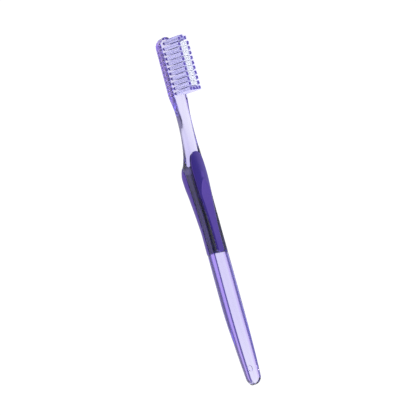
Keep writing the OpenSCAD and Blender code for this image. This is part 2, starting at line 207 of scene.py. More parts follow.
def show(name, data):
    """A new object of the scene that holds this camera, lamp or mesh."""
    made = bpy.data.objects.new(name, data)
    data.name = name
    bpy.context.scene.collection.objects.link(made)
    return made


def seen_from(azimuth, elevation, distance, target=(0, 0, 0)):
    """Place and turn of what looks at the target from this side; azimuth 0 is at -Y."""
    a, e = math.radians(azimuth), math.radians(elevation)
    away = Vector((math.sin(a) * math.cos(e), -math.cos(a) * math.cos(e), math.sin(e)))
    turned = away.to_track_quat("Z", "Y").to_matrix().to_4x4()
    return Matrix.Translation(Vector(target) + away * distance) @ turned


camera = show("camera", bpy.data.cameras.new("camera"))
camera.data.sensor_width = SENSOR
camera.data.lens = SENSOR * CAMERA_DISTANCE / FIELD
camera.data.clip_end = 2 * CAMERA_DISTANCE
look_at = home @ (Vector(LOOK_AT_MM) * MM)
camera.matrix_world = (
    seen_from(CAMERA_AZIMUTH, CAMERA_ELEVATION, CAMERA_DISTANCE, look_at)
    @ Matrix.Rotation(math.radians(CAMERA_ROLL), 4, "Z")
)
bpy.context.scene.camera = camera
print("focal length in mm:", round(camera.data.lens))

# %% [markdown]
# ## Node trees in short lines
# Light, materials and bristles are all built from nodes. Each node takes several lines of Python: one adds
# it, others set its values and draw its links. Helpers take these up, so that a tree reads like a formula.

# %% Helpers that build node trees


def put(tree, kind, *values, out=0, named=None, **settings):
    """Adds a node, gives its inputs a value or a link each, in order or by name, and returns one output."""
    made = tree.nodes.new(kind)
    for key, value in settings.items():
        setattr(made, key, value)
    for slot, value in [*enumerate(values), *(named or {}).items()]:
        if isinstance(value, bpy.types.NodeSocket):
            tree.links.new(value, made.inputs[slot])
        elif value is not None:
            made.inputs[slot].default_value = value
    return made.outputs[out]


def math_node(tree, operation, *values, clamp=False):
    return put(tree, "ShaderNodeMath", *values, operation=operation, use_clamp=clamp)


def coordinates(tree, kind):
    """X, Y and Z of one kind of texture coordinate."""
    return put(tree, "ShaderNodeSeparateXYZ", put(tree, "ShaderNodeTexCoord", out=kind)).node.outputs


def ranged(tree, value, low, high, start=0.0, end=1.0):
    """Goes from start to end while the value goes from low to high."""
    return put(tree, "ShaderNodeMapRange", named={
        "Value": value, "From Min": low, "From Max": high, "To Min": start, "To Max": end})


def ramp(tree, value, stops):
    """A colour ramp through pairs of a position and a colour."""
    made = put(tree, "ShaderNodeValToRGB", value)
    elements = made.node.color_ramp.elements
    for i, (position, colour) in enumerate(stops):
        stop = elements[i] if i < 2 else elements.new(position)
        stop.position, stop.color = position, (*colour, 1)
    return made


def greys(levels):
    """The stops of a ramp of plain levels."""
    return [(position, (level, level, level)) for position, level in levels]


# %% [markdown]
# ## The studio
# Clear plastic has no colour of its own in the dark: it only bends what is around it. A world shader is the
# softest light there is. This one has a dark band high up, which the plastic's edges mirror as a thin dark
# outline. Matt pieces would look dull under it, so rays that they scatter see a plain bright sky instead.

# %% Light the sky
SKY_LIGHT = ((0.0, 1.0), (0.62, 0.9), (0.72, 0.45), (0.81, 0.12), (0.9, 0.36), (1.0, 0.36))
NEAR_Y, FAR_Y = -0.6, 0.4
NEAR_SKY, FAR_SKY = 0.7, 1.0
MATT_NEAR_SKY, MATT_FAR_SKY = 1.3, 1.8
WHITE = (1, 1, 1, 1)

world = bpy.data.worlds.new("studio")
world.use_nodes = True
t = world.node_tree
t.nodes.clear()
toward = coordinates(t, "Generated")
sky = ramp(t, toward["Z"], greys(SKY_LIGHT))
mirrored = put(t, "ShaderNodeBackground", sky, ranged(t, toward["Y"], NEAR_Y, FAR_Y, NEAR_SKY, FAR_SKY))
matt_level = ranged(t, toward["Y"], NEAR_Y, FAR_Y, MATT_NEAR_SKY, MATT_FAR_SKY)
scattered = put(t, "ShaderNodeBackground", WHITE, matt_level)
is_scattered = put(t, "ShaderNodeLightPath", out="Is Diffuse Ray")
studio_light = put(t, "ShaderNodeMixShader", is_scattered, mirrored, scattered)
t.links.new(studio_light, t.nodes.new("ShaderNodeOutputWorld").inputs["Surface"])
bpy.context.scene.world = world
print("nodes of the sky:", len(t.nodes))

# %% [markdown]
# Clear products are photographed on a glowing white table, which shines through them from below. A square
# that emits light is enough for it. A broad lamp beyond the tail gives the light one stronger side.

# %% Light from the side and from below
LIGHT_AZIMUTH, LIGHT_ELEVATION, LIGHT_DISTANCE, LIGHT_SIZE, LIGHT_POWER = 100, 25, 0.9, 0.4, 5
TABLE_SIZE, TABLE_GAP, TABLE_GLOW = 3.0, 0.0002, 1.08

side_light = show("side_light", bpy.data.lights.new("side_light", "AREA"))
side_light.data.size, side_light.data.energy = LIGHT_SIZE, LIGHT_POWER
side_light.matrix_world = seen_from(LIGHT_AZIMUTH, LIGHT_ELEVATION, LIGHT_DISTANCE)

half = TABLE_SIZE / 2
table = show("table", bpy.data.meshes.new("table"))
corners = [(-half, -half, 0), (half, -half, 0), (half, half, 0), (-half, half, 0)]
table.data.from_pydata(corners, [], [(0, 1, 2, 3)])
table.location.z = cad_low.z - TABLE_GAP

table_material = bpy.data.materials.new("glowing_table")
table_material.use_nodes = True
t = table_material.node_tree
t.nodes.clear()
glow = put(t, "ShaderNodeEmission", WHITE, TABLE_GLOW)
t.links.new(glow, t.nodes.new("ShaderNodeOutputMaterial").inputs["Surface"])
table.data.materials.append(table_material)
print("table's height in mm:", round(table.location.z / MM, 3))

# %% [markdown]
# Light that enters clear plastic is thrown about inside it many times before it leaves, and a ray that is
# given up too early turns black. The limits on bounces are therefore high.

# %% Let the light bounce
CLEAR_BOUNCES, MATT_BOUNCES, GLOSS_BOUNCES = 48, 16, 24
bpy.context.scene.view_settings.view_transform = "Standard"
cycles = bpy.context.scene.cycles
cycles.max_bounces = cycles.transmission_bounces = CLEAR_BOUNCES
cycles.diffuse_bounces, cycles.glossy_bounces = MATT_BOUNCES, GLOSS_BOUNCES
print("most bounces:", cycles.max_bounces)

# %% [markdown]
# ## Materials
# Four finishes cover the whole brush: clear plastic that drinks a little red and green from the light that
# crosses it, matt soft rubber, nylon, and a strip of nickel silver. What the plastic, the rubber and the metal
# share, such as the faint unevenness of a moulded skin, is a node group that each of them sets to its own
# values.

# %% A node group for moulded skins


def new_group(name, kind, inputs, outputs):
    """An empty node group with named sockets: (name, socket type, value) for each input."""
    tree = bpy.data.node_groups.new(name, kind)
    for label, sort, value in inputs:
        socket = tree.interface.new_socket(label, in_out="INPUT", socket_type=sort)
        if value is not None:
            socket.default_value = value
    for label, sort in outputs:
        tree.interface.new_socket(label, in_out="OUTPUT", socket_type=sort)
    return tree, tree.nodes.new("NodeGroupInput").outputs, tree.nodes.new("NodeGroupOutput").inputs


skin, skin_in, skin_out = new_group(
    "mould_skin", "ShaderNodeTree",
    [("Scale", "NodeSocketFloat", 200.0), ("Bump", "NodeSocketFloat", 0.1),
     ("Depth", "NodeSocketFloat", 0.00002), ("Roughness", "NodeSocketFloat", 0.1),
     ("Spread", "NodeSocketFloat", 0.05)],
    [("Roughness", "NodeSocketFloat"), ("Normal", "NodeSocketVector"), ("Mask", "NodeSocketFloat")],
)
grain = put(skin, "ShaderNodeTexNoise", named={
    "Vector": put(skin, "ShaderNodeTexCoord", out="Object"), "Scale": skin_in["Scale"], "Detail": 3.0,
    "Roughness": 0.6}, out="Fac")
swing = math_node(skin, "MULTIPLY_ADD", grain, 2.0, -1.0)
uneven = math_node(skin, "MULTIPLY", swing, skin_in["Spread"])
bump = put(skin, "ShaderNodeBump", named={
    "Strength": skin_in["Bump"], "Distance": skin_in["Depth"], "Height": grain}, out="Normal")
skin.links.new(math_node(skin, "ADD", skin_in["Roughness"], uneven, clamp=True), skin_out["Roughness"])
skin.links.new(bump, skin_out["Normal"])
skin.links.new(grain, skin_out["Mask"])
print("nodes of the moulded skin:", len(skin.nodes))

# %% [markdown]
# One Principled shader serves all four finishes. Its constant values are set on it directly, and only what
# changes over a surface comes from nodes.

# %% Helpers for the four finishes


def finish(name, **sockets):
    """A material with one Principled shader, whose constant sockets are set here."""
    material = bpy.data.materials.new(name)
    material.use_nodes = True
    tree = material.node_tree
    shader = tree.nodes["Principled BSDF"]
    for key, value in sockets.items():
        shader.inputs[key.replace("_", " ")].default_value = value
    return material, tree, shader


def give_skin(tree, shader, **values):
    """Places the moulded skin's group in a material and returns its mask."""
    group = tree.nodes.new("ShaderNodeGroup")
    group.node_tree = skin
    for key, value in values.items():
        group.inputs[key].default_value = value
    tree.links.new(group.outputs["Roughness"], shader.inputs["Roughness"])
    tree.links.new(group.outputs["Normal"], shader.inputs["Normal"])
    return group.outputs["Mask"]


def blend(tree, share, a, b):
    """Goes from colour a to colour b with the share."""
    a, b = (c if isinstance(c, bpy.types.NodeSocket) else (*c, 1) for c in (a, b))
    return put(tree, "ShaderNodeMix", named={0: share, 6: a, 7: b}, data_type="RGBA", out=2)


# %% [markdown]
# ### Clear violet plastic
# The handle is solid plastic with a little dye in it. A coloured surface would look like painted glass. Dye
# drinks light along the light's whole path, which Volume Absorption does, so thick places come out deeper.
# The head's and the lower handle's steep flanks are a stronger violet than that gives, since light runs the
# length of the handle inside them. A tint of these flanks, stronger or weaker by place, stands in for it.

# %% Mix the clear plastic
CLEAR_IOR = 1.57
DRINK_COLOUR, DRINK_DENSITY = (0.175, 0.06, 0.86, 1), 65.0
SIDE_TINT = (0.55, 0.34, 0.97)
STEEP_FROM, STEEP_TO = 0.6, 0.95
SIDE_DEPTHS = ((0.0, 0.9), (0.1, 0.8), (0.2, 0.8), (0.25, 0.0), (0.385, 0.0), (0.46, 1.0))

clear_plastic, t, shader = finish("clear_violet_plastic", Transmission_Weight=1.0, IOR=CLEAR_IOR)
give_skin(t, shader, Scale=90.0, Bump=0.05, Depth=0.0002, Roughness=0.02, Spread=0.015)
sideways = ranged(t, math_node(t, "ABSOLUTE", coordinates(t, "Normal")["Y"]), STEEP_FROM, STEEP_TO)
length_share = ranged(t, coordinates(t, "Object")["X"], cad_low.x, cad_high.x)
depth = ramp(t, length_share, greys(SIDE_DEPTHS))
tint = blend(t, math_node(t, "MULTIPLY", sideways, depth), WHITE[:3], SIDE_TINT)
t.links.new(tint, shader.inputs["Base Color"])
drink = put(t, "ShaderNodeVolumeAbsorption", DRINK_COLOUR, DRINK_DENSITY)
t.links.new(drink, t.nodes["Material Output"].inputs["Volume"])
print("nodes of the clear plastic:", len(t.nodes))

# %% [markdown]
# ### Soft violet rubber
# The grips are a soft rubber of the same violet, so full of dye that no light comes through. A fine grain
# breaks up its shine. Its colour is painted paler on the flat of the thumb pad, a painted highlight where it
# faces the light, and along the flanks, a painted sheen. Which way the skin faces tells these places from the
# rest.

# %% Mix the soft rubber
# The last of these colours is painted light: the paler skin of the lit flat and of the flanks' sheen.
RUBBER_DARK, RUBBER_LIGHT, RUBBER_PAINTED_LIGHT = (0.005, 0.003, 0.125), (0.007, 0.0045, 0.145), (0.029, 0.0145, 0.188)
FLAT_LEAN, FLAT_SIDE_SHARE, FLAT_UP, FLANK_SIDE = (0.015, 0.045), -0.5, (0.9, 0.97), (0.55, 0.85)

soft_rubber, t, shader = finish("soft_violet_rubber", IOR=2.3, Specular_Tint=(0.5, 0.32, 1, 1))
mask = give_skin(t, shader, Scale=2500.0, Bump=0.25, Depth=0.00003, Roughness=0.3, Spread=0.05)
shade = blend(t, mask, RUBBER_DARK, RUBBER_LIGHT)
facing = coordinates(t, "Normal")
to_side = math_node(t, "ABSOLUTE", facing["Y"])
rearwards = math_node(t, "MULTIPLY_ADD", to_side, FLAT_SIDE_SHARE, facing["X"])
on_flat = math_node(t, "MULTIPLY", ranged(t, rearwards, *FLAT_LEAN), ranged(t, facing["Z"], *FLAT_UP))
# Painted light: the flat that faces the light and the sheen on the flanks are painted paler.
painted_light_mask = math_node(t, "ADD", on_flat, ranged(t, to_side, *FLANK_SIDE), clamp=True)
t.links.new(blend(t, painted_light_mask, shade, RUBBER_PAINTED_LIGHT), shader.inputs["Base Color"])
print("nodes of the soft rubber:", len(t.nodes))

# %% [markdown]
# ### Nylon and nickel silver
# A bristle is drawn nylon, violet in some tufts and clear in the others. Looked at from the side a tuft is
# pale, because light wanders through all its filaments. Its colour is painted darker at the foot, as painted
# shade where the hole shades it, and at the cut tips, as painted shade where one looks down into the filaments.
# Each filament carries its own share of the way from root to tip, and a ramp turns that share into a colour.
# The anchors are strips of nickel silver.
# They keep their imported shape, which is plain, and get a rolled metal's unevenness.

# %% Mix the nylon and the metal
FOOT_AT, SHAFT_FROM, SHAFT_TO, TIP_AT = 0.165, 0.21, 0.93, 0.985


def nylon(name, foot, shaft, tip):
    """Bristle nylon, whose colour goes from foot to shaft to tip along the stored share."""
    material, tree, shader = finish(name, Roughness=0.35, IOR=1.5)
    share = put(tree, "ShaderNodeAttribute", attribute_name="along", out="Fac")
    # Painted shade: the foot's and the tip's colours are darker than the shaft's.
    stops = ((FOOT_AT, foot), (SHAFT_FROM, shaft), (SHAFT_TO, shaft), (TIP_AT, tip))
    tree.links.new(ramp(tree, share, stops), shader.inputs["Base Color"])
    return material


# In each nylon the first colour is painted shade at the foot and the last is painted shade at the tips.
violet_nylon = nylon("violet_nylon", (0.06, 0.04, 0.35), (0.6, 0.58, 0.9), (0.13, 0.09, 0.45))
clear_nylon = nylon("clear_nylon", (0.6, 0.62, 0.85), (0.88, 0.895, 0.955), (0.7, 0.72, 0.8))

anchor_metal, t, shader = finish("nickel_silver", Metallic=1.0, Base_Color=(0.5, 0.48, 0.45, 1))
give_skin(t, shader, Scale=3000.0, Bump=0.2, Depth=0.00001, Roughness=0.28, Spread=0.1)
anchors = [node for name, node in frame["nodes"].items() if name.startswith("anchors_")]
for node in anchors:
    node.data.materials.clear()
    node.data.materials.append(anchor_metal)
print("rows of anchors with a metal finish:", len(anchors))

# %% [markdown]
# ## Lofting
# Handle and grips are lofts: rings of points, one behind the other, joined into a skin. The mesh is much
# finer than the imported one, so that light bends smoothly through it.

# %% Make and mend a loft
SHARP_ANGLE = 35
MERGE_MM = 1e-5


def loft(rings):
    """Joins rings of equal length, an array of (ring, point, xyz), into one closed mesh."""
    count, points = rings.shape[:2]
    a = np.arange(points)
    b = (a + 1) % points
    faces = []
    for j in range(count - 1):
        low, high = j * points, (j + 1) * points
        faces += zip((low + a).tolist(), (low + b).tolist(), (high + b).tolist(), (high + a).tolist())
    faces.append(tuple(range(points - 1, -1, -1)))
    faces.append(tuple((count - 1) * points + i for i in range(points)))
    mesh = bpy.data.meshes.new("loft")
    mesh.from_pydata(rings.reshape(-1, 3).tolist(), [], faces)
    return mesh


def tidy(mesh):
    """Merges doubled points, turns faces outwards and keeps only steep edges sharp; measures the result."""
    bm = bmesh.new()
    bm.from_mesh(mesh)
    bmesh.ops.remove_doubles(bm, verts=bm.verts, dist=MERGE_MM)
    bmesh.ops.recalc_face_normals(bm, faces=bm.faces)
    if bm.calc_volume(signed=True) < 0:
        bmesh.ops.reverse_faces(bm, faces=bm.faces)
    limit = math.radians(SHARP_ANGLE)
    for face in bm.faces:
        face.smooth = True
    for edge in bm.edges:
        edge.smooth = len(edge.link_faces) == 2 and edge.calc_face_angle(0) < limit
    bm.to_mesh(mesh)
    open_edges = sum(not e.is_manifold for e in bm.edges)
    volume = bm.calc_volume(signed=True)
    bm.free()
    return f"open edges {open_edges}, mm3 {volume:.2f}"


# %% [markdown]
# ## The clear handle
# Every section of the handle has a flat front and a rounder back. A loft fits this form better than a
# subdivided box would, because each ring is a true section.

# %% One cross-section of the handle
CORNER_STEPS, FLAT_STEPS, SIDE_STEPS = 9, 10, 4
CORNER_LIMIT = 0.48


def arc(cy, cz, ry, rz, start):
    """A quarter of an ellipse round the corner's centre."""
    angles = np.radians(start + 90 * np.arange(CORNER_STEPS + 1) / CORNER_STEPS)
    return np.stack([cy + ry * np.cos(angles), cz + rz * np.sin(angles)], 1)


def edges(w, t, front_r, back_h, back_w):
    """Front radius, height and width of the back's rounding, as far as a section has room for them."""
    room = CORNER_LIMIT * min(w, t)
    rf = min(front_r, room)
    return rf, min(back_h, 2 * room - rf), min(back_w, CORNER_LIMIT * w)


def section(w, top, bottom, *edge_sizes):
    """A flat-sided ring with round corners, anticlockwise in Y and Z from the far side's front corner."""
    rf, rh, rw = edges(w, top - bottom, *edge_sizes)
    corners = [
        arc(w / 2 - rf, top - rf, rf, rf, 0), arc(rf - w / 2, top - rf, rf, rf, 90),
        arc(rw - w / 2, bottom + rh, rw, rh, 180), arc(w / 2 - rw, bottom + rh, rw, rh, 270),
    ]
    steps = [FLAT_STEPS, SIDE_STEPS, FLAT_STEPS, SIDE_STEPS]
    points = []
    for k, corner in enumerate(corners):
        points.extend(corner)
        after = corners[(k + 1) % 4][0]
        points.extend(mix(corner[-1], after, i / steps[k]) for i in range(1, steps[k]))
    return np.array(points)


def edge_sizes_at(x, grow=0.0):
    """The sizes of the handle's edges at x, grown by as much as its skin is."""
    return [float(size_at(x, column)) + grow for column in (FRONT_EDGE, BACK_EDGE_H, BACK_EDGE_W)]


def ring(x, width_share=1.0, lift=0.0, fall=0.0):
    """The handle's section at x, narrowed, with its back lifted and its front let down."""
    flat = section(
        float(width(x)) * width_share, float(front(x)) - fall, float(back(x)) + lift, *edge_sizes_at(x))
    return np.column_stack([np.full(len(flat), x), flat])


print("points in a ring:", len(ring(BELLY_X)))

# %% [markdown]
# At the two ends the rings narrow along an ellipse, and the front and back edges keep their radius round the
# nose, as a tool that rounds every edge would leave them.

# %% Loft the handle
HEAD_LIFT, TAIL_LIFT, TAIL_FRONT_FALL, TAIL_EDGE_R = 1.9, 0.6, 0.9, 0.9
CAP_STEPS, CAP_START = 22, 2
BODY_STEP = 0.5


def edge_drop(r, distance):
    """How far an edge of radius r has fallen at a distance from the wall."""
    inside = max(0.0, r - distance)
    return r - math.sqrt(max(0.0, r * r - inside * inside))


def cap_rings(tip_x, length, sign, lift, fall, front_r, back_r):
    """Rings from the tip of an end inwards; sign is +1 at the head and -1 at the tail."""
    made = []
    for i in range(CAP_STEPS):
        angle = math.radians(CAP_START + (90 - CAP_START) * i / CAP_STEPS)
        s = 1 - math.cos(angle)
        made.append(ring(
            tip_x + sign * length * s, math.sin(angle),
            lift * (1 - s) ** 2 + edge_drop(back_r, length * s),
            fall * (1 - s) ** 2 + edge_drop(front_r, length * s),
        ))
    return made


middle_count = round((TAIL_X - HEAD_ROUND_L) / BODY_STEP)
handle_rings = np.array(
    cap_rings(0, HEAD_ROUND_L, 1, HEAD_LIFT, 0, NOSE[FRONT_EDGE], NOSE[BACK_EDGE_H])
    + [ring(mix(HEAD_ROUND_L, TAIL_X, i / middle_count)) for i in range(middle_count + 1)]
    + cap_rings(TOTAL_L, TAIL_ROUND_L, -1, TAIL_LIFT, TAIL_FRONT_FALL, TAIL_EDGE_R, TAIL_EDGE_R)[::-1]
)
handle = show("clear_handle", loft(handle_rings))
print("handle before cutting:", tidy(handle.data))

# %% [markdown]
# ## The thumb grip
# The thumb grip is a crowned pad that narrows to a flat strip. Its outline, its crown and the flat that cuts
# the crown are formulas, so the mesh is a grid whose rows run across the pad. Its edge stands a lip's height
# out of the handle, and its wall goes down to the floor of its seat, which shows through the clear side.

# %% The thumb grip's outline
PAD_LEAD_L, GRIP_L, PAD_W, STRIP_W, PAD_TAPER_L, STRIP_ROUND_L = 12.4, 42.6, 10.8, 5.4, 37, 2
PAD_DEPTH, PAD_LIP, PAD_CROWN, STRIP_RISE, FLAT_START, FLAT_L = 1.4, 0.12, 0.85, 0.45, 3.2, 7.8
NOSE_POWER = 0.4
PAD_X = BULGE_X - PAD_LEAD_L
PAD_FULL_X = BULGE_X - FLAT_START / 2
GRIP_END_X = BULGE_X + GRIP_L
FLAT_END_X = BULGE_X + FLAT_START + FLAT_L


def smooth(share):
    return share * share * (3 - 2 * share)


def pad_half(x):
    """Half the width of the thumb grip's outline at x."""
    nose = np.clip((PAD_FULL_X - x) / (PAD_FULL_X - PAD_X), 0, 1)
    taper = np.clip((x - PAD_FULL_X) / PAD_TAPER_L, 0, 1)
    end = np.clip((x - GRIP_END_X + STRIP_ROUND_L) / STRIP_ROUND_L, 0, 1)
    return mix(PAD_W, STRIP_W, smooth(taper)) / 2 * (1 - nose**2) ** NOSE_POWER * np.sqrt(1 - end**2)


print("thumb grip from", round(PAD_X, 1), "to", round(GRIP_END_X, 1), "mm")

# %% [markdown]
# The top is the lower one of two surfaces: the dome of the pad and the flat that falls to the strip. Where
# they meet, a thumb feels a crease with a fine bead along it, which fades out towards the strip.

# %% The thumb grip's top
PAD_EDGE_R = 0.1
CREASE, BEAD_H, BEAD_W, BEAD_FADE_L = 0.02, 0.05, 0.06, 8
SLOPE_STEP = 0.01
SMALLEST_HALF = 1e-3  # keeps the division by it safe


def corner_fall(x, y):
    """How far the handle's own front has fallen at y, where its corner is round."""
    r = size_at(x, FRONT_EDGE)
    over = np.clip(np.abs(y) - width(x) / 2 + r, 0, r)
    return r - np.sqrt(np.maximum(0, r**2 - over**2))


def soft_min(a, b, k):
    """The lower of two surfaces, with a crease of size k between them."""
    return (a + b) / 2 - np.sqrt(((a - b) / 2) ** 2 + k**2)


def pad_top(x, y):
    """Height of the thumb grip's skin at x and y."""
    half = np.maximum(pad_half(x), SMALLEST_HALF)
    side = np.clip(np.abs(y) / half, 0, 1)
    nose = np.clip((x - PAD_X) / PAD_LEAD_L, 0, 1)
    crown = PAD_CROWN * (1 - (1 - nose) ** 2) * (1 - side**2)
    dome = PAD_LIP + crown - corner_fall(x, y)
    flat = STRIP_RISE + (PAD_LIP + PAD_CROWN - STRIP_RISE) * np.maximum(0, FLAT_END_X - x) / FLAT_L
    fade = np.clip((FLAT_END_X + BEAD_FADE_L / 2 - x) / BEAD_FADE_L, 0, 1)
    top = soft_min(dome, flat, CREASE) + BEAD_H * np.exp(-(((dome - flat) / BEAD_W) ** 2)) * fade
    lean = (pad_half(x + SLOPE_STEP) - pad_half(x - SLOPE_STEP)) / (2 * SLOPE_STEP)
    edge = np.clip(PAD_EDGE_R - (half - np.abs(y)) / np.sqrt(1 + lean**2), 0, PAD_EDGE_R)
    return front(x) + top - (PAD_EDGE_R - np.sqrt(PAD_EDGE_R**2 - edge**2))


print("pad's height at the bulge in mm:", round(float(pad_top(BULGE_X, 0) - front(BULGE_X)), 2))

# %% [markdown]
# Each ring goes once round the grip, so walls and floor are meshed together with the top. The rings stand
# closest where the outline turns fastest, at both ends.

# %% Mesh the thumb grip
NOSE_STEPS, MIDDLE_STEPS, END_STEPS, ACROSS_STEPS, WALL_STEPS = 40, 220, 12, 80, 6
LEAST = 0.02  # so that no ring shrinks to a point


def grid_places():
    """Places of the rows, closer together at both ends."""
    nose = 1 - np.cos(np.radians(90) * np.arange(1, NOSE_STEPS) / NOSE_STEPS)
    middle = np.arange(MIDDLE_STEPS + 1) / MIDDLE_STEPS
    end = np.sin(np.radians(90) * np.arange(1, END_STEPS) / END_STEPS)
    return np.concatenate([
        mix(PAD_X, PAD_FULL_X, nose), mix(PAD_FULL_X, GRIP_END_X - STRIP_ROUND_L, middle),
        GRIP_END_X - STRIP_ROUND_L + STRIP_ROUND_L * end,
    ])


def pad_rings(shrink=0.0):
    """Rings round the thumb grip: up the far wall, over the top, down the near wall and along the floor."""
    made = []
    for x in grid_places():
        half = max(float(pad_half(x)) - shrink, LEAST)
        y = half * np.cos(np.radians(np.linspace(0, 180, ACROSS_STEPS + 1)))
        top = pad_top(np.full_like(y, x), y * (half + shrink) / half)
        floor = float(front(x)) - PAD_DEPTH + shrink
        wall = np.linspace(floor, top[0], WALL_STEPS + 1)[:-1]
        bottom = np.linspace(-half, half, ACROSS_STEPS // 2 + 1)[1:-1]
        yz = np.concatenate([
            np.stack([np.full_like(wall, half), wall], 1), np.stack([y, top], 1),
            np.stack([np.full_like(wall, -half), wall[::-1]], 1),
            np.stack([bottom, np.full_like(bottom, floor)], 1),
        ])
        made.append(np.column_stack([np.full(len(yz), x), yz]))
    return np.array(made)


thumb_grip = show("soft_thumb_grip", loft(pad_rings()))
print("thumb grip's points:", len(thumb_grip.data.vertices))

# %% [markdown]
# ## The back grip
# The back grip wraps the back and both back corners. Its section is the handle's own section, grown by the
# height that the rubber stands proud, and cut off at a line in side view that starts with a sloping tongue.

# %% The back grip's inner line
TONGUE_L, BACK_GRIP_T, BACK_GRIP_END_T, BACK_PROUD = 6, 4.8, 3.4, 0.2
TONGUE_X = BULGE_X - TONGUE_L
TONGUE_FULL_X = BULGE_X - TONGUE_L / 6
TONGUE_SWELL = 0.25


def straight_line(x):
    """The back grip's inner line behind its tongue, in side view."""
    start, end = float(back(BULGE_X)) + BACK_GRIP_T, float(back(GRIP_END_X)) + BACK_GRIP_END_T
    return mix(start, end, (x - BULGE_X) / GRIP_L)


def inner_line(x):
    """The height up to which the back grip reaches at x."""
    if x >= TONGUE_FULL_X:
        return straight_line(x)
    share = (x - TONGUE_X) / (TONGUE_FULL_X - TONGUE_X)
    low = float(back(TONGUE_X)) - BACK_PROUD
    return mix(low, straight_line(TONGUE_FULL_X), mix(share, math.sin(math.pi / 2 * share), TONGUE_SWELL))


print("inner line at the tongue's tip and at the bulge, in mm:",
      round(inner_line(TONGUE_X), 2), round(inner_line(BULGE_X), 2))

# %% [markdown]
# Each ring starts at the inner line, goes down one flank, under the back and up the other flank. At the rear
# a few rings are drawn in a little, which rounds the end's edge.

# %% Mesh the back grip
TONGUE_STEPS, GRIP_STEPS, SIDE_POINTS, ROUND_POINTS, BOTTOM_POINTS = 24, 110, 8, 12, 16
BACK_EDGE_R = 0.15
END_ANGLES = (30, 60, 90)


def grip_section(x, shrink=0.0, edge=0.0):
    """The back grip's ring at x; edge is how far it is drawn in at its rear end's rounding."""
    proud = BACK_PROUD - edge
    w, bottom, top = float(width(x)) / 2 + proud, float(back(x)) - proud, float(front(x)) + proud
    rh, rw = edges(2 * w, top - bottom, *edge_sizes_at(x, proud))[1:]
    line = max(inner_line(x) - shrink - edge, bottom + LEAST)
    centre = bottom + rh
    start = math.asin(min(1, max(0, (centre - line) / rh)))
    y_start = w - rw + rw * math.cos(start)
    straight = np.linspace(line, min(centre, line), SIDE_POINTS + 1)[:-1]
    side = [(y_start - edge_drop(BACK_EDGE_R, line - z) * (shrink == 0), z) for z in straight]
    angles = np.linspace(start, math.pi / 2, ROUND_POINTS + 1)
    side += [(w - rw + rw * math.cos(a), centre - rh * math.sin(a)) for a in angles]
    right = np.array(side)
    bottom_y = np.linspace(w - rw, rw - w, BOTTOM_POINTS + 1)[1:-1]
    flat = np.stack([bottom_y, np.full_like(bottom_y, bottom)], 1)
    left = right[::-1] * (-1, 1)
    top_y = np.linspace(left[-1, 0], right[0, 0], BOTTOM_POINTS + 1)[1:-1]
    yz = np.concatenate([right, flat, left, np.stack([top_y, np.full_like(top_y, line)], 1)])[::-1]
    return np.column_stack([np.full(len(yz), x), yz])


def back_grip_rings(shrink=0.0):
    """Rings along the back grip; only the grip itself has its rear end rounded, and its seat has not."""
    full_end = GRIP_END_X - BACK_EDGE_R - shrink
    tongue = np.linspace(TONGUE_X + LEAST, TONGUE_FULL_X, TONGUE_STEPS)
    rest = np.linspace(TONGUE_FULL_X, full_end, GRIP_STEPS)[1:]
    rings = [grip_section(x, shrink) for x in [*tongue, *rest]]
    if shrink == 0:
        for a in map(math.radians, END_ANGLES):
            x = full_end + BACK_EDGE_R * math.sin(a)
            rings.append(grip_section(x, 0.0, BACK_EDGE_R * (1 - math.cos(a))))
    return np.array(rings)


back_grip = show("soft_back_grip", loft(back_grip_rings()))
print("back grip's points:", len(back_grip.data.vertices))

# %% [markdown]
# ## Seats
# Soft rubber is moulded straight onto the plastic, so no air lies between them and the rubber shows its full
# colour through the clear wall. The seats are therefore cut with the grips' own shapes, a hair smaller. The
# cut is a boolean of closed meshes, and its result replaces the handle's mesh at once.

# %% Cut the seats
SEAT_SHRINK = 0.03


def take_result(obj):
    """Replaces the object's mesh by what its modifiers make of it."""
    bpy.context.view_layer.update()
    result = bpy.data.meshes.new_from_object(obj.evaluated_get(bpy.context.evaluated_depsgraph_get()))
    obj.modifiers.clear()
    obj.data = result


def carve(obj, cutter):
    """Cuts one closed mesh out of another and removes the cutter."""
    modifier = obj.modifiers.new("carve", "BOOLEAN")
    modifier.operation = "DIFFERENCE"
    modifier.solver = "MANIFOLD"
    modifier.object = cutter
    take_result(obj)
    bpy.data.objects.remove(cutter)


for seat in (loft(pad_rings(SEAT_SHRINK)), loft(back_grip_rings(SEAT_SHRINK))):
    print("seat:", tidy(seat))
    carve(handle, show("seat", seat))
    print("handle after a seat:", tidy(handle.data))

# %% [markdown]
# ## The mould's mark
# A plain ring in the back, near the tail, is where the mould's mark sits. It shows through the clear handle
# as a fine circle. A square groove gives it real edges for the light, which a bump in the material wouldn't.

# %% Cut the mould's mark
MARK_D, MARK_W, MARK_DEPTH, MARK_FROM_END, MARK_SIDES = 3.6, 0.4, 0.4, 9, 64
OVERRUN = 1


def mark_cutter():
    """A closed ring of square section that stands on the handle's back."""
    outer, inner = MARK_D / 2, MARK_D / 2 - MARK_W
    corners = [(inner, -OVERRUN), (outer, -OVERRUN), (outer, MARK_DEPTH), (inner, MARK_DEPTH)]
    points, faces = [], []
    for i in range(MARK_SIDES):
        a = 2 * math.pi * i / MARK_SIDES
        points += [(r * math.cos(a), r * math.sin(a), z) for r, z in corners]
        here, after = 4 * i, 4 * ((i + 1) % MARK_SIDES)
        faces += [(here + k, here + (k + 1) % 4, after + (k + 1) % 4, after + k) for k in range(4)]
    mesh = bpy.data.meshes.new("mark")
    mesh.from_pydata(points, [], faces)
    x = TOTAL_L - MARK_FROM_END
    slope = math.atan2(float(back(x + MARK_D / 2) - back(x - MARK_D / 2)), MARK_D)
    mesh.transform(Matrix.Translation((x, 0, float(back(x)))) @ Matrix.Rotation(-slope, 4, "Y"))
    print("mould's mark:", tidy(mesh))
    return mesh


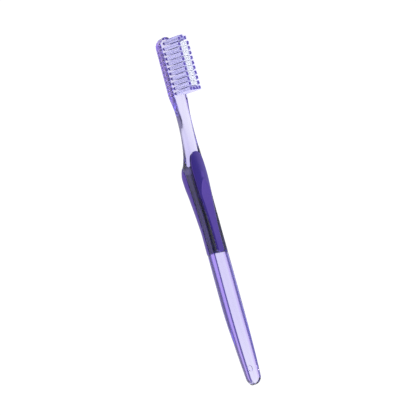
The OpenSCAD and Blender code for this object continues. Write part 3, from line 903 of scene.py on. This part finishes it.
carve(handle, show("mark", mark_cutter()))

# %% [markdown]
# ## Holes for the tufts
# The holes stand in eleven rows: three at the round end, then four in each row. They hold air, and that is
# why they flash silver and dark in the clear head. Beside each hole an anchor's two wings bite into the
# plastic, in a slit of their own.

# %% Where the tufts stand
ROW_COUNT, COLUMN_COUNT = 10, 4
END_ROW_X, END_ROW_BACK, END_ROW_SIDE, SECOND_ROW_X = 2.8, 0.9, 2.4, 6.6
SIDE_WALL, BORE_D, BORE_DEPTH, TRIM_H = 1, 1.6, 3.2, 11.3
ROW_PITCH = (HEAD_L - SECOND_ROW_X) / (ROW_COUNT - 1)
OUTER_Y = NOSE[WIDTH] / 2 - SIDE_WALL - BORE_D / 2
INNER_Y = OUTER_Y / (COLUMN_COUNT - 1)


def pair(row, y):
    """The two places of a row that lie y to the left and to the right of the middle."""
    x = SECOND_ROW_X + ROW_PITCH * (row - 2)
    return [(x, -y), (x, y)]


tuft_places = {
    "end_tufts": [
        (END_ROW_X + END_ROW_BACK, -END_ROW_SIDE), (END_ROW_X, 0), (END_ROW_X + END_ROW_BACK, END_ROW_SIDE)],
    "heel_tufts": pair(ROW_COUNT + 1, OUTER_Y) + pair(ROW_COUNT + 1, INNER_Y),
}
for row in range(2, ROW_COUNT + 1):
    tuft_places[f"outer_tufts_{row}"] = pair(row, OUTER_Y)
    tuft_places[f"inner_tufts_{row}"] = pair(row, INNER_Y)
all_places = [p for places in tuft_places.values() for p in places]
print("tufts:", len(all_places))

# %% [markdown]
# All cutters of a kind are stamped into one mesh first, because one cut is quicker and cleaner than 43.

# %% Drill the holes and their anchor slits
BORE_SIDES = 32
ANCHOR_W, ANCHOR_T, FOLD_T, ANCHOR_TURN, FIT_GAP = 1.9, 0.3, 0.25, 35, 0.02


def stamped(shape, places):
    """Copies a small closed mesh to each place on the head's face."""
    bm = bmesh.new()
    for x, y in places:
        shape(bm, x, y)
    mesh = bpy.data.meshes.new("stamps")
    bm.to_mesh(mesh)
    bm.free()
    return mesh


def bore(bm, x, y):
    bmesh.ops.create_cone(
        bm, cap_ends=True, segments=BORE_SIDES, radius1=BORE_D / 2, radius2=BORE_D / 2,
        depth=BORE_DEPTH + OVERRUN, matrix=Matrix.Translation((x, y, (OVERRUN - BORE_DEPTH) / 2)),
    )


def slit(bm, x, y):
    w, t, h = ANCHOR_W + 2 * FIT_GAP, ANCHOR_T + 2 * FIT_GAP, BORE_DEPTH - FOLD_T + FIT_GAP + OVERRUN
    middle = FOLD_T - BORE_DEPTH - FIT_GAP + h / 2
    place = Matrix.Translation((x, y, middle)) @ Matrix.Rotation(math.radians(ANCHOR_TURN), 4, "Z")
    bmesh.ops.create_cube(bm, size=1, matrix=place @ Matrix.Diagonal((w, t, h, 1)))


carve(handle, show("bores", stamped(bore, all_places)))
carve(handle, show("slits", stamped(slit, all_places)))
print("handle's faces after drilling:", len(handle.data.polygons))

# %% [markdown]
# The three mouldings are complete now. Each gets its finish, is scaled to metres and turned home, and stands
# for its node. That is done only here, because all cuts are made in millimetres.

# %% Bring the three mouldings home


def stand_for(obj, slot, *nodes):
    """Brings a finished piece home and lets it stand for its nodes."""
    obj.data.transform(home @ Matrix.Scale(MM, 4))
    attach(obj, "root")
    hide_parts(*nodes)


def settle(obj, material, slot, *nodes):
    """Finishes a moulded piece: mends its mesh, gives it its material and brings it home."""
    measured = tidy(obj.data)
    obj.data.materials.clear()
    obj.data.materials.append(material)
    stand_for(obj, slot, *nodes)
    print(f"{obj.name}: faces {len(obj.data.polygons)}, {measured}")


settle(handle, clear_plastic, "clear_violet", "handle")
settle(thumb_grip, soft_rubber, "soft_grip", "thumb_grip")
settle(back_grip, soft_rubber, "soft_grip", "back_grip")

# %% [markdown]
# ## Bristles
# A tuft is some eighty nylon filaments, folded once round its anchor. Nothing repeats more often on a brush,
# so Geometry Nodes plant them: each hole's point is doubled once per filament, the copies spread over the
# hole in a sunflower pattern, and one six-sided filament with a rounded tip stands on each of them.

# %% The tree's inputs
planted, tuft_in, tuft_out = new_group(
    "plant_tufts", "GeometryNodeTree",
    [("Geometry", "NodeSocketGeometry", None), ("Filaments", "NodeSocketInt", 78),
     ("Foot Radius", "NodeSocketFloat", 0.7), ("Tip Radius", "NodeSocketFloat", 0.9),
     ("Height", "NodeSocketFloat", 11.0), ("Root", "NodeSocketFloat", 1.5),
     ("Filament Radius", "NodeSocketFloat", 0.1), ("Unevenness", "NodeSocketFloat", 0.004),
     ("Splay", "NodeSocketFloat", 0.03), ("Rim", "NodeSocketFloat", 0.78),
     ("Squareness", "NodeSocketFloat", 1.0), ("Seed", "NodeSocketInt", 1),
     ("Material", "NodeSocketMaterial", None)],
    [("Geometry", "NodeSocketGeometry")],
)
g = planted
print("inputs of the tree:", len(tuft_in) - 1)

# %% Helpers for its nodes


def random_float(low, high, salt):
    """A random number for each filament, fixed by the tree's seed."""
    seed = math_node(g, "ADD", tuft_in["Seed"], float(salt))
    return put(g, "FunctionNodeRandomValue", named={2: low, 3: high, 8: seed}, data_type="FLOAT", out=1)


def curve_of(value, points):
    """Reads a value through straight lines from point to point."""
    made = put(g, "ShaderNodeFloatCurve", named={"Factor": 1.0, "Value": value})
    line = made.node.mapping.curves[0]
    while len(line.points) < len(points):
        line.points.new(0.5, 0.5)
    for point, (px, py) in zip(line.points, points):
        point.location = (px, py)
        point.handle_type = "VECTOR"
    made.node.mapping.update()
    return made


def stored(geometry, name, value, kind="FLOAT"):
    """Keeps a value on each point under a name."""
    made = put(g, "GeometryNodeStoreNamedAttribute", named={"Geometry": geometry, "Name": name},
               data_type=kind, domain="POINT")
    g.links.new(value, next(s for s in made.node.inputs if s.name == "Value" and s.enabled))
    return made


def scaled(vector, scale):
    return put(g, "ShaderNodeVectorMath", vector, named={"Scale": scale}, operation="SCALE")


# %% [markdown]
# The filament is a cylinder a unit tall and a unit in radius, from its root at zero. Its rings are moved
# where it needs them: close together above the foot, where it leans over, and at the tip, which is ground
# round. The share that each ring stands at is kept as an attribute, because the nylon's colours read it.

# %% One filament
STALK_SIDES, STALK_BEND = 6, 0.6
RING_PLACES = (0, 0.1, 0.19, 0.3, 0.45, 0.7, 0.99, 0.997, 1)
RINGS = len(RING_PLACES) - 1
RING_WIDTHS = ((0, 1), ((RINGS - 2) / RINGS, 1), ((RINGS - 1) / RINGS, 0.75), (1, 0.3))

stalk = put(g, "GeometryNodeMeshCylinder", named={
    "Vertices": STALK_SIDES, "Side Segments": RINGS, "Fill Segments": 1, "Radius": 1.0, "Depth": 1.0},
    fill_type="NGON")
x_out, y_out, z_out = put(g, "ShaderNodeSeparateXYZ", put(g, "GeometryNodeInputPosition")).node.outputs
height_share = math_node(g, "ADD", z_out, 0.5)
ring_place = curve_of(height_share, [(i / RINGS, place) for i, place in enumerate(RING_PLACES)])
ring_width = curve_of(height_share, RING_WIDTHS)
bend = math_node(g, "MULTIPLY", math_node(g, "MULTIPLY", ring_place, ring_place), STALK_BEND)
stalk_point = put(
    g, "ShaderNodeCombineXYZ", math_node(g, "MULTIPLY_ADD", x_out, ring_width, bend),
    math_node(g, "MULTIPLY", y_out, ring_width), ring_place)
shaped = put(g, "GeometryNodeSetPosition", named={
    "Geometry": stored(stalk, "along", ring_place), "Position": stalk_point})
filament = put(g, "GeometryNodeSetShadeSmooth", shaped)
print("rings of a filament:", RINGS + 1)

# %% [markdown]
# In a sunflower each seed turns by the golden angle from the last one and sits at the root of its share. That
# fills a circle evenly, as the hole needs it. Above it the tufts press on each other, so they fill out to
# squares: a direction reaches further the closer it comes to a corner.

# %% Its copies, spread over each hole
GOLDEN_ANGLE = math.pi * (3 - math.sqrt(5))
TURN_JITTER, FULL_TURN = 0.25, 6.2832

points = put(g, "GeometryNodeMeshToPoints", tuft_in["Geometry"])
copies = put(g, "GeometryNodeDuplicateElements", named={
    "Geometry": points, "Amount": tuft_in["Filaments"]}, domain="POINT")
index = copies.node.outputs["Duplicate Index"]
share = math_node(g, "DIVIDE", math_node(g, "ADD", index, 0.5), tuft_in["Filaments"])
spread = math_node(g, "SQRT", share)
turn = math_node(g, "MULTIPLY_ADD", index, GOLDEN_ANGLE, random_float(-TURN_JITTER, TURN_JITTER, 3))
cosine, sine = math_node(g, "COSINE", turn), math_node(g, "SINE", turn)
spoke = put(g, "ShaderNodeCombineXYZ", cosine, sine, 0.0)
widest = math_node(g, "MAXIMUM", math_node(g, "ABSOLUTE", cosine), math_node(g, "ABSOLUTE", sine))
corner = math_node(g, "POWER", widest, math_node(g, "MULTIPLY", tuft_in["Squareness"], -1.0))
foot_r = math_node(g, "MULTIPLY", spread, tuft_in["Foot Radius"])
tip_r = math_node(g, "MULTIPLY", math_node(g, "MULTIPLY", spread, corner), tuft_in["Tip Radius"])
tip_splay = math_node(g, "MULTIPLY_ADD", random_float(-1.0, 1.0, 5), tuft_in["Splay"], tip_r)
root_z = math_node(g, "MULTIPLY", tuft_in["Root"], -1.0)
sunk = put(g, "ShaderNodeVectorMath", scaled(spoke, foot_r), put(
    g, "ShaderNodeCombineXYZ", 0.0, 0.0, root_z), operation="ADD")
placed = put(g, "GeometryNodeSetPosition", named={"Geometry": copies, "Offset": sunk})
print("nodes of the tree so far:", len(g.nodes))

# %% [markdown]
# Each copy also keeps how far it leans and whether it stands on the tuft's rim. The filaments then grow on
# the copies, each turned and trimmed a little differently, as a cutter leaves them. Just above the head's
# face they fan out. Light falls into a tuft's outer filaments from the side, and that is painted light: their
# tips are painted paler.

# %% Grow, fan out and shade the filaments
FAN = ((0, 0), (0.11, 0.0), (0.19, 0.55), (0.3, 0.9), (0.45, 1), (1, 0.96))
RIM_PALING = -0.09

leaning = stored(placed, "lean", scaled(spoke, math_node(g, "SUBTRACT", tip_splay, foot_r)), "FLOAT_VECTOR")
rimmed = stored(leaning, "rim", math_node(g, "GREATER_THAN", spread, tuft_in["Rim"]))
spin = put(g, "FunctionNodeAxisAngleToRotation", (0, 0, 1), random_float(0.0, FULL_TURN, 7))
trim = math_node(g, "MULTIPLY_ADD", random_float(-1.0, 0.0, 11), tuft_in["Unevenness"], 1.0)
full_height = math_node(g, "ADD", tuft_in["Height"], tuft_in["Root"])
size = put(g, "ShaderNodeCombineXYZ", tuft_in["Filament Radius"], tuft_in["Filament Radius"],
           math_node(g, "MULTIPLY", full_height, trim))
grown = put(g, "GeometryNodeInstanceOnPoints", named={
    "Points": rimmed, "Instance": filament, "Rotation": spin, "Scale": size})
real = put(g, "GeometryNodeRealizeInstances", grown)

stored_lean = put(g, "GeometryNodeInputNamedAttribute", "lean", data_type="FLOAT_VECTOR")
stored_share = put(g, "GeometryNodeInputNamedAttribute", "along", data_type="FLOAT")
stored_rim = put(g, "GeometryNodeInputNamedAttribute", "rim", data_type="FLOAT")
fanned = put(g, "GeometryNodeSetPosition", named={
    "Geometry": real, "Offset": scaled(stored_lean, curve_of(stored_share, FAN))})
# Painted light: the rim filaments' share is cut short, so their tips stay out of the dark tip colour.
paler = math_node(g, "MULTIPLY", stored_share, math_node(g, "MULTIPLY_ADD", stored_rim, RIM_PALING, 1.0))
dressed = put(g, "GeometryNodeSetMaterial", named={
    "Geometry": stored(fanned, "along", paler), "Material": tuft_in["Material"]})
g.links.new(dressed, tuft_out["Geometry"])
print("nodes of the tree:", len(g.nodes))

# %% [markdown]
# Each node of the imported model, such as the two outer tufts of a row, becomes one mesh of its own. The tree's
# result is taken as a plain mesh, because a modifier and its instances wouldn't leave Blender.

# %% Plant every row
SOCKETS = {s.name: s.identifier for s in planted.interface.items_tree if s.in_out == "INPUT"}
FILAMENT_D = 0.22
ROOT_ABOVE_FOLD = 1.4
VIOLET_TUFT = (violet_nylon, "violet_bristle", 1.1)
CLEAR_TUFT = (clear_nylon, "clear_bristle", 1.14)


def plant(node_name, places, material, slot, tip_r, seed):
    """The tufts of one node, as a mesh of filaments."""
    mesh = bpy.data.meshes.new(node_name)
    mesh.from_pydata([(x, y, 0) for x, y in places], [], [])
    made = show(node_name.replace("tufts", "bristles"), mesh)
    modifier = made.modifiers.new("plant", "NODES")
    modifier.node_group = planted
    values = {
        "Foot Radius": BORE_D / 2 - FILAMENT_D / 2 - FIT_GAP, "Tip Radius": tip_r, "Height": TRIM_H,
        "Root": BORE_DEPTH - FOLD_T - ROOT_ABOVE_FOLD, "Filament Radius": FILAMENT_D / 2, "Seed": seed,
        "Material": material,
    }
    for label, value in values.items():
        modifier[SOCKETS[label]] = value
    take_result(made)
    stand_for(made, slot, node_name)
    return len(made.data.polygons)


faces = 0
for seed, (node_name, places) in enumerate(sorted(tuft_places.items())):
    kind = CLEAR_TUFT if node_name.startswith("inner") else VIOLET_TUFT
    faces += plant(node_name, places, *kind, seed)
print("bristle faces:", faces)

# %% [markdown]
# ## A last measure
# The dressed brush has to fill the same box as the imported one. The imported box is written down here.

# %% Write down the imported box
print("cad box in mm:", [round(v / MM, 2) for v in (*cad_low, *cad_high)])
